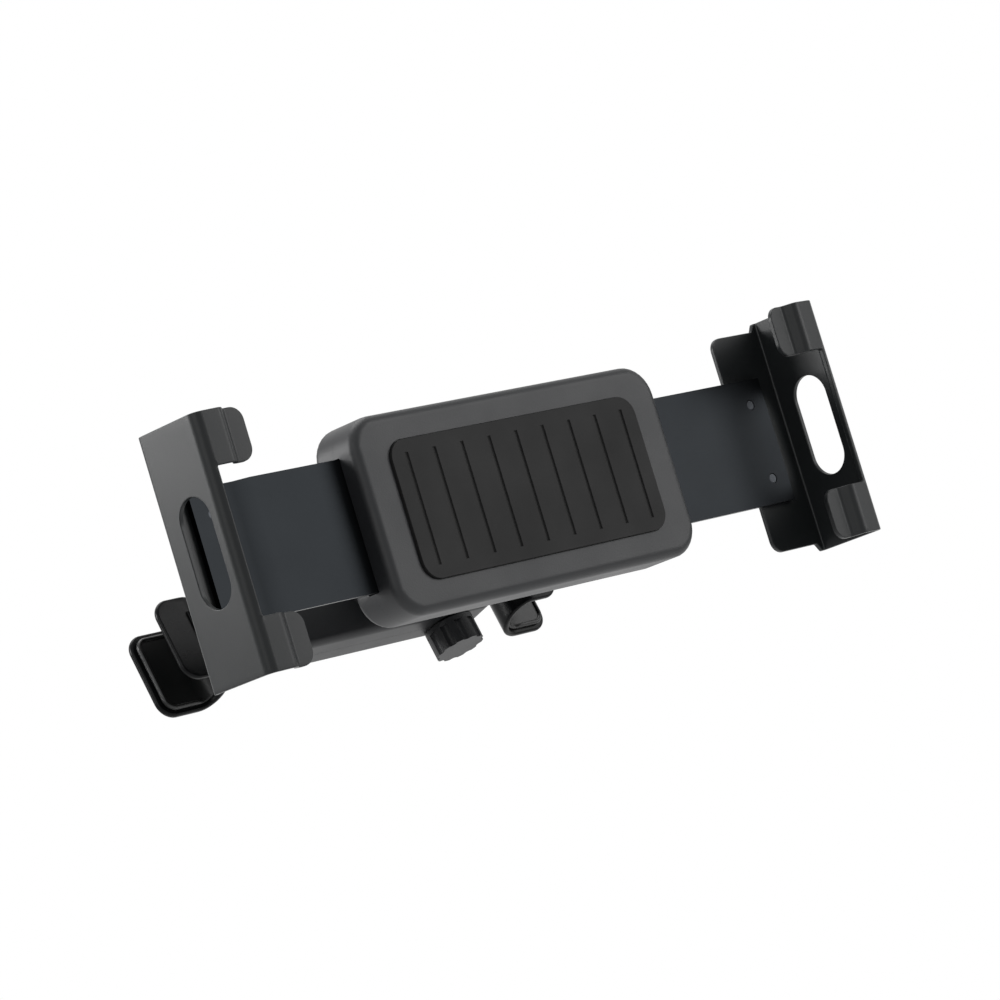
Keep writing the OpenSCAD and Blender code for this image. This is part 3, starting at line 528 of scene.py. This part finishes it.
# %% Finishes
powder_coat = finish("satin_powder_coat", "#1b1d1e", 0.36, grain=0.55, depth=0.014, mottle=0.06, gloss=0.2)
moulded_abs = finish("spark_eroded_abs", "#1d1e20", 0.46, grain=0.4, depth=0.03, mottle=0.08,
                     ior=1.54, gloss=0.25)
dark_abs = finish("coarse_eroded_abs", "#17181a", 0.5, grain=0.5, depth=0.04, mottle=0.1,
                  ior=1.54, gloss=0.25)
polished_nylon = finish("mould_polished_nylon", "#090a0b", 0.28, grain=0.9, depth=0.006, mottle=0.05,
                        ior=1.53, gloss=0.08)
rubber = finish("moulded_rubber", "#0d0e0e", 0.36, grain=0.3, depth=0.01, mottle=0.1, ior=1.52, gloss=0.3)
silicone = finish("matt_silicone", "#161616", 0.66, grain=0.35, depth=0.02, mottle=0.12,
                  ior=1.43, gloss=0.25)
dark_strip = finish("dark_anodised_strip", "#1d1f21", 0.42, grain=0.25, depth=0.006, mottle=0.06,
                    metallic=1.0, stretch=(0.12, 1, 1))
turned_steel = finish("turned_steel", "#b4b7b9", 0.24, grain=0.2, depth=0.004, mottle=0.04,
                      metallic=1.0, stretch=(1, 0.15, 1))
spring_steel = finish("drawn_spring_steel", "#9fa2a4", 0.3, grain=0.15, depth=0.004, mottle=0.08,
                      metallic=1.0)
black_oxide = finish("black_oxide_steel", "#35373a", 0.38, grain=0.25, depth=0.006, mottle=0.12,
                     metallic=1.0)
natural_nylon = finish("natural_nylon", "#d0cab6", 0.42, grain=0.4, depth=0.008, mottle=0.03, ior=1.53)
acetal = finish("white_acetal", "#d9d8d2", 0.32, grain=0.4, depth=0.005, mottle=0.02, ior=1.48)
turned_brass = finish("turned_brass", "#c19a55", 0.26, grain=0.2, depth=0.005, mottle=0.05, metallic=1.0)
print("finishes:", len(bpy.data.materials))

# %% [markdown]
# Every node of the model has a body that it rides on and a slot in the record. What follows needs
# the two together with the finish, so they stand in one table, by the pieces' names.

# %% Which finish goes where
looks = {
    "jaw": (powder_coat, ["jaw_left", "jaw_right"]),
    "arm": (dark_strip, ["arm_left", "arm_right"]),
    "shell": (moulded_abs, ["housing_front", "housing_rear", "ball_socket", "bar_front", "bar_rear"]),
    "grip": (dark_abs, ["locking_ring", "lock_knob"]),
    "hook": (polished_nylon, ["hook_left", "hook_right"]),
    "liner": (rubber, ["hook_liner_left", "hook_liner_right"]),
    "soft": (silicone, ["seat_pad", "lip_pad_left_upper", "lip_pad_left_lower", "lip_pad_right_upper",
                        "lip_pad_right_lower"]),
    "screw": (black_oxide, ["jaw_screws_left", "jaw_screws_right", "housing_screws", "socket_screws",
                            "stud_screw", "bar_screws"]),
    "steel": (turned_steel, ["ball_stud", "pinion_axle"]),
    "inner": (natural_nylon, ["friction_cup", "seat_ring"]),
    "brass": (turned_brass, ["knob_insert"]),
}
looks_of = {node: (look, slot) for slot, (look, nodes) in looks.items() for node in nodes}
looks_of["pinion"] = (acetal, "inner")
for node in ("jaw_spring_left", "jaw_spring_right", "bar_spring"):
    looks_of[node] = (spring_steel, "steel")
body_of = {node: body for body, nodes in frame["record"]["behaviour"]["bodies"].items() for node in nodes}
for node, part in frame["nodes"].items():
    part.data.materials.clear()
    part.data.materials.append(looks_of[node][0])
print("nodes with a finish:", len(looks_of), "of", len(frame["nodes"]))

# %% [markdown]
# The jaws are one folded sheet each: a flange at the back, the wall at the side, a fold at the
# front and a lip that slopes in, dips and runs out flat. The outer corners of that section are
# the dimensions of its drawing, so the jaw is written as its drawing is. The model's box of the
# jaw gives the flange's end, the wall, the crest and the height. The lip's own steps are a
# little softer than the model's, as the picture shows them.

# %% Section of a jaw
SHEET = 1.5
FOLD_RADII = [0.6, 1.9, 1.4, 1.6]
CREST_RISE = 1.0
CREST_INSET = 9.6
HOLLOW_STEP, HOLLOW_DEPTH = 3.0, 3.5
LIP_END, LIP_FLARE = 6.2, 0.5
jaw_low, jaw_high = (np.array(corner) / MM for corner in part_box("jaw_right"))
flange_x, crest_y = jaw_low[:2]
wall_x, rear_y, half_height = jaw_high
crest_x = wall_x - CREST_INSET
hollow_x = crest_x - HOLLOW_STEP
hollow_y = crest_y + HOLLOW_DEPTH
tip_x = hollow_x - LIP_END
tip_y = hollow_y - LIP_FLARE
jaw_corners = [(flange_x, rear_y), (wall_x, rear_y), (wall_x, crest_y + CREST_RISE),
               (crest_x, crest_y), (hollow_x, hollow_y), (tip_x, tip_y)]
jaw_legs = sheet_legs(jaw_corners, FOLD_RADII, SHEET)
leg_ends = np.cumsum(jaw_legs[:, 0])
jaw_length = leg_ends[-1]
print("a jaw's blank is", round(jaw_length, 1), "by", round(2 * half_height, 1), "mm")

# %% [markdown]
# On the flat blank a window leaves a lip at each end, a long rounded hole lightens the wall, and
# two holes take the screws. The flange is a little shorter than the wall, with a slanted step
# between them. Only the upper half of the outline is written, each corner with its radius, and
# the lower half mirrors it.

# %% Outline of a jaw
LIP_HEIGHT = 15.8
CORNER = 4.0
WINDOW_RADIUS = 0.6
FLANGE_SET_BACK = 2.5
NOTCH_GAP, NOTCH_RUN, NOTCH_RADIUS = 0.3, 1.6, 0.8
SLOT_HALF_LENGTH = 16.0
SLOT_WIDTH = 13.7
SLOT_Y = -0.6
ARM_END = 9.5
SCREW_V = 12.0
SCREW_HOLE_RADIUS = 1.6
ROUND_STEP, HOLE_STEP = 6, 15
SHORT_STRAIGHT = 0.01
window_u = leg_ends[3]
window_v = half_height - LIP_HEIGHT
flange_u = leg_ends[0] - NOTCH_GAP
flange_v = half_height - FLANGE_SET_BACK
slot_u = leg_ends[1] + rear_y - FOLD_RADII[0] - SHEET - SLOT_Y
screw_u = (wall_x - ARM_END - flange_x) / 2

upper = [(window_u, window_v, WINDOW_RADIUS), (jaw_length, window_v, CORNER),
         (jaw_length, half_height, CORNER), (flange_u, half_height, NOTCH_RADIUS),
         (flange_u - NOTCH_RUN, flange_v, NOTCH_RADIUS), (0, flange_v, CORNER)]
lower = [(u, -v, radius) for u, v, radius in reversed(upper)]
jaw_plan = np.array(lower + upper)
jaw_outline = rounded(jaw_plan[:, :2], jaw_plan[:, 2])


def round_hole(u, v, half_width, half_length, step):
    """Hole round a point, with ends as round as it is wide but for a hundredth of a millimetre.

    That hundredth keeps its sides from vanishing. A hole turns right, so its points run backwards.
    """
    box = box_corners(u - half_width, u + half_width, v - half_length, v + half_length)
    return rounded(box, half_width - SHORT_STRAIGHT, step)[::-1]


slot = round_hole(slot_u, 0, SLOT_WIDTH / 2, SLOT_HALF_LENGTH, ROUND_STEP)
screw_holes = [round_hole(screw_u, v, SCREW_HOLE_RADIUS, SCREW_HOLE_RADIUS, HOLE_STEP)
               for v in (-SCREW_V, SCREW_V)]
print("its outline has", len(jaw_outline), "points and its long hole", len(slot))

# %% [markdown]
# Both jaws are the same blank, folded once and mirrored. The finish rounds their cut edge a
# little, as deburring and powder coat do.

# %% Jaw sheets
CUT_EDGE = 0.28
jaw_points, jaw_faces = blank([jaw_outline, slot, *screw_holes], SHEET, CUT_EDGE, fold_lines(jaw_legs))
jaw_points = folded(jaw_points, jaw_legs, (flange_x, rear_y - SHEET / 2), 0)
for side, name in ((1, "right"), (-1, "left")):
    piece("jaw_sheet_" + name, jaw_points * [side, 1, 1], jaw_faces, name + "_jaw", ["jaw_" + name],
          powder_coat)

# %% [markdown]
# A pad of thin silicone is stuck under each lip end, so that the lip doesn't scratch what it
# holds. It is a plain rounded slab that follows the lip's flare and needs no fold: the flat blank
# is turned into place with the same function as the sheet, on one straight leg.

# %% Lip pads
PAD = 0.6
PAD_EDGE = 0.2
PAD_CORNER = 1.5
PAD_TIP_MARGIN, PAD_FOLD_MARGIN, PAD_SIDE_MARGIN = 0.9, 1.5, 2.0
pad_half = LIP_HEIGHT / 2 - PAD_SIDE_MARGIN
pad_length = LIP_END - PAD_TIP_MARGIN - PAD_FOLD_MARGIN
flare = math.degrees(math.atan2(LIP_FLARE, LIP_END))
ahead = np.array([math.cos(math.radians(flare)), math.sin(math.radians(flare))])
left = np.array([-ahead[1], ahead[0]])
pad_start = np.array([hollow_x, hollow_y]) + (PAD_TIP_MARGIN - LIP_END) * ahead + (SHEET + PAD / 2) * left
pad_outline = rounded(box_corners(0, pad_length, -pad_half, pad_half), PAD_CORNER)
pad_points, pad_faces = blank([pad_outline], PAD, PAD_EDGE)
pad_points = folded(pad_points, np.array([(pad_length, 0.0)]), pad_start, flare)
for side, name in ((1, "right"), (-1, "left")):
    for up, end in ((1, "upper"), (-1, "lower")):
        place = pad_points + [0, 0, up * (half_height - LIP_HEIGHT / 2)]
        piece(f"soft_pad_{name}_{end}", place * [side, 1, 1], pad_faces, name + "_jaw",
              [f"lip_pad_{name}_{end}"], silicone)

# %% [markdown]
# The headrest bar leans back by its pitch about the ball. The hooks, their strips and their linings
# are drawn square to the bar, as they are on its drawing, and one function turns their points
# from the bar's frame into the model's.

# %% Frame of the bar
BALL_Y = 48.0
BAR_PITCH = math.radians(15.5)


def from_bar(points):
    """Turns points of the bar's frame by the pitch about X and moves its origin into the ball."""
    x, y, z = np.asarray(points, float).T
    cosine, sine = math.cos(BAR_PITCH), math.sin(BAR_PITCH)
    return np.column_stack([x, BALL_Y + y * cosine + z * sine, z * cosine - y * sine])


print("the bar's own upward axis points along", np.round(from_bar([[0, 0, 1]]) - from_bar([[0, 0, 0]]), 3))

# %% [markdown]
# The hooks are moulded, but they have the form of a bent tongue: a rear plate, half a turn round
# the post and a front tongue, which sits a little higher. As a blank that is a strip whose middle
# climbs along the bend.

# %% Hooks
POST_X, POST_Y = 66.5, 49.1
HOOK_SHEET = 2.0
HOOK_RADIUS = 6.2
HOOK_EDGE = 0.75
PLATE = {"length": 14.0, "height": 27.8, "drop": 5.4}
TONGUE = {"length": 11.0, "height": 26.8, "drop": 1.3}
HOOK_CORNER = 5.5
BEND_POINTS = 19


def hook_outline(middle_radius, margin, corner):
    """Flat outline of the hook, inside its real one by the margin.

    Its edges climb from the plate's to the tongue's by (1 - cos of the bend) / 2.
    """
    bend = np.linspace(0, math.pi, BEND_POINTS)
    share = (1 - np.cos(bend)) / 2
    along = PLATE["length"] + middle_radius * bend
    middle = -PLATE["drop"] + (PLATE["drop"] - TONGUE["drop"]) * share
    half = (PLATE["height"] + (TONGUE["height"] - PLATE["height"]) * share) / 2 - margin
    total = along[-1] + TONGUE["length"] - margin
    low = np.column_stack([along, middle - half])
    high = np.column_stack([along, middle + half])[::-1]
    outline = [(margin, low[0, 1]), *low.tolist(), (total, low[-1, 1]), (total, high[0, 1]), *high.tolist(),
               (margin, high[-1, 1])]
    radii = np.zeros(len(outline))
    radii[[0, len(low) + 1, len(low) + 2, -1]] = corner
    return rounded(outline, radii, ROUND_STEP)


def hook_legs(middle_radius):
    """Plate, half a turn and tongue, along the middle of the sheet."""
    return np.array([(PLATE["length"], 0), (math.pi * middle_radius, 180), (TONGUE["length"], 0)])


def bent_round_post(points, middle_radius):
    """Folds a hook's blank round the post, from the plate's outer end, and leaves the bar's frame."""
    start = (POST_X + PLATE["length"], POST_Y + middle_radius)
    return from_bar(folded(points, hook_legs(middle_radius), start, 180))


hook_middle = HOOK_RADIUS + HOOK_SHEET / 2
hook_points, hook_faces = blank([hook_outline(hook_middle, 0, HOOK_CORNER)], HOOK_SHEET, HOOK_EDGE,
                                fold_lines(hook_legs(hook_middle)))
hook_points = bent_round_post(hook_points, hook_middle)
hook_body = {"right": "sliding_hook", "left": "headrest_bar"}
for side, name in ((1, "right"), (-1, "left")):
    piece("hook_claw_" + name, hook_points * [side, 1, 1], hook_faces, hook_body[name], ["hook_" + name],
          polished_nylon)

# %% [markdown]
# Each claw is moulded on a flat strip, which slides in the bar or is held in it. Seen from above
# the strip is a rectangle whose end is hollowed by the claw's round back. That plan is the blank
# here, and the strip's height is its thickness.

# %% Strips
STRIP = {"height": 16.0, "thickness": 4.0, "edge": 0.4}
BAR_DROP = 1.0
HOLLOW_POINTS = 8
strip_y = POST_Y - hook_middle
strip_inner = {"right": 8.0, "left": 16.0}


def strip_plan(inner):
    """Plan of a strip: straight sides, and at the claw an arc round the post's middle."""
    front, rear = strip_y - STRIP["thickness"] / 2, strip_y + STRIP["thickness"] / 2
    last = math.acos((POST_Y - rear) / hook_middle)
    arc = np.linspace(0, last, HOLLOW_POINTS)
    hollow = np.column_stack([POST_X - hook_middle * np.sin(arc), POST_Y - hook_middle * np.cos(arc)])
    return np.array([(inner, front), (POST_X, front), *hollow.tolist(), (inner, rear)])


for side, name in ((1, "right"), (-1, "left")):
    points, faces = blank([strip_plan(strip_inner[name])], STRIP["height"], STRIP["edge"])
    points = from_bar(points - [0, 0, BAR_DROP])
    piece("hook_strip_" + name, points * [side, 1, 1], faces, hook_body[name], [], polished_nylon)

# %% [markdown]
# A rubber lining sits in each claw. It is a thinner blank on a smaller radius, and a soft bead
# stands up along its edge beside the post and sinks away round the bend, where the post fills
# the claw. The bead is half an ellipse carried along the outline before the blank is bent.

# %% Hook linings
LINING = 1.0
LINING_MARGIN = 1.6
LINING_EDGE = 0.3
BEAD_WIDTH = 1.4
BEAD_HEIGHT = 0.75
BEAD_SUNK = 0.15
BEAD_ROOT = 0.3
BEAD_DIP = 0.05
BEAD_POINTS = 16
BEAD_STEP = 1.0
FADE_LEAD, FADE_SHARE = 2.0, 0.9
lining_middle = HOOK_RADIUS - LINING / 2


def bead(outline):
    """Closed tube along an outline, half an ellipse above the lining and a shallow root in it.

    A point lies across by half the width times the cosine and up by the height times the sine.
    The height fades round the bend by the curve 3 t^2 - 2 t^3, which starts and ends level.
    """
    angle = np.linspace(0, 2 * math.pi, BEAD_POINTS, endpoint=False)
    rows = np.stack([inset(outline, BEAD_WIDTH / 2 * (1 - math.cos(turn))) for turn in angle], 1)
    fade = np.clip((rows[..., 0] - PLATE["length"] + FADE_LEAD) / (lining_middle * FADE_SHARE), 0, 1)
    crest = BEAD_HEIGHT - (BEAD_HEIGHT + BEAD_SUNK) * (3 - 2 * fade) * fade ** 2
    rise = np.where(np.sin(angle) > 0, crest, BEAD_ROOT) * np.sin(angle)
    points = np.concatenate([rows, (LINING / 2 - BEAD_DIP + rise)[..., None]], 2)
    faces = grid_faces(len(outline), len(angle), closed_rows=True, closed_columns=True)
    return points.reshape(-1, 3), faces


lining_outline = hook_outline(lining_middle, LINING_MARGIN, HOOK_CORNER - LINING_MARGIN)
lining_lines = fold_lines(hook_legs(lining_middle))
lining_points, lining_faces = blank([lining_outline], LINING, LINING_EDGE, lining_lines)
bead_rows = np.arange(BEAD_STEP / 2, lining_outline[:, 0].max(), BEAD_STEP)
bead_points, bead_faces = bead(with_crossings(lining_outline, bead_rows))
lining_faces = lining_faces + (bead_faces + len(lining_points)).tolist()
lining_points = bent_round_post(np.concatenate([lining_points, bead_points]), lining_middle)
for side, name in ((1, "right"), (-1, "left")):
    piece("hook_lining_" + name, lining_points * [side, 1, 1], lining_faces, hook_body[name],
          ["hook_liner_" + name], rubber)

# %% [markdown]
# The housings, the socket, the ring, the knob, the arms and the screws have their full form in the
# model already: what they lack is a broken edge, because no moulded or turned part has a sharp
# one. A copy of each mesh is merged, its flat triangles are dissolved into whole faces, and a
# Bevel modifier of two segments rounds every edge sharper than the arcs' own facets.

# %% Broken edges
FACET = math.radians(32)
FLAT = math.radians(0.6)
WELD_WITHIN = 2e-6
BEVEL_SEGMENTS = 2


def soften(node, edge):
    """A merged copy of a node's mesh with its edges rounded to that radius in millimetres."""
    work = bmesh.new()
    work.from_mesh(frame["nodes"][node].data)
    bmesh.ops.remove_doubles(work, verts=work.verts, dist=WELD_WITHIN)
    bmesh.ops.dissolve_limit(work, verts=work.verts, edges=work.edges, angle_limit=FLAT)
    for face in work.faces:
        face.smooth = True
    for side in work.edges:
        side.smooth = side.calc_face_angle(0) < FACET
    mesh = bpy.data.meshes.new(node + "_softened")
    work.to_mesh(mesh)
    work.free()
    look, slot = looks_of[node]
    mesh.materials.clear()
    mesh.materials.append(look)
    made = bpy.data.objects.new(node + "_softened", mesh)
    scene.collection.objects.link(made)
    bevel = made.modifiers.new("broken_edge", "BEVEL")
    bevel.width = edge * MM
    bevel.segments = BEVEL_SEGMENTS
    bevel.limit_method = "ANGLE"
    bevel.angle_limit = FACET
    normals = made.modifiers.new("even_normals", "WEIGHTED_NORMAL")
    normals.keep_sharp = True
    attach(made, body_of[node])
    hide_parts(node)
    print(made.name, "has", len(mesh.polygons), "faces before its bevel")


edges = {
    "housing_front": 0.35, "housing_rear": 0.35, "ball_socket": 0.3, "locking_ring": 0.4,
    "lock_knob": 0.35, "bar_front": 0.35, "bar_rear": 0.35, "arm_left": 0.2, "arm_right": 0.2,
    "ball_stud": 0.3, "seat_pad": 0.2, "jaw_screws_left": 0.1, "jaw_screws_right": 0.1,
    "housing_screws": 0.08, "socket_screws": 0.1, "bar_screws": 0.08, "stud_screw": 0.1,
}
for node, edge in edges.items():
    soften(node, edge)
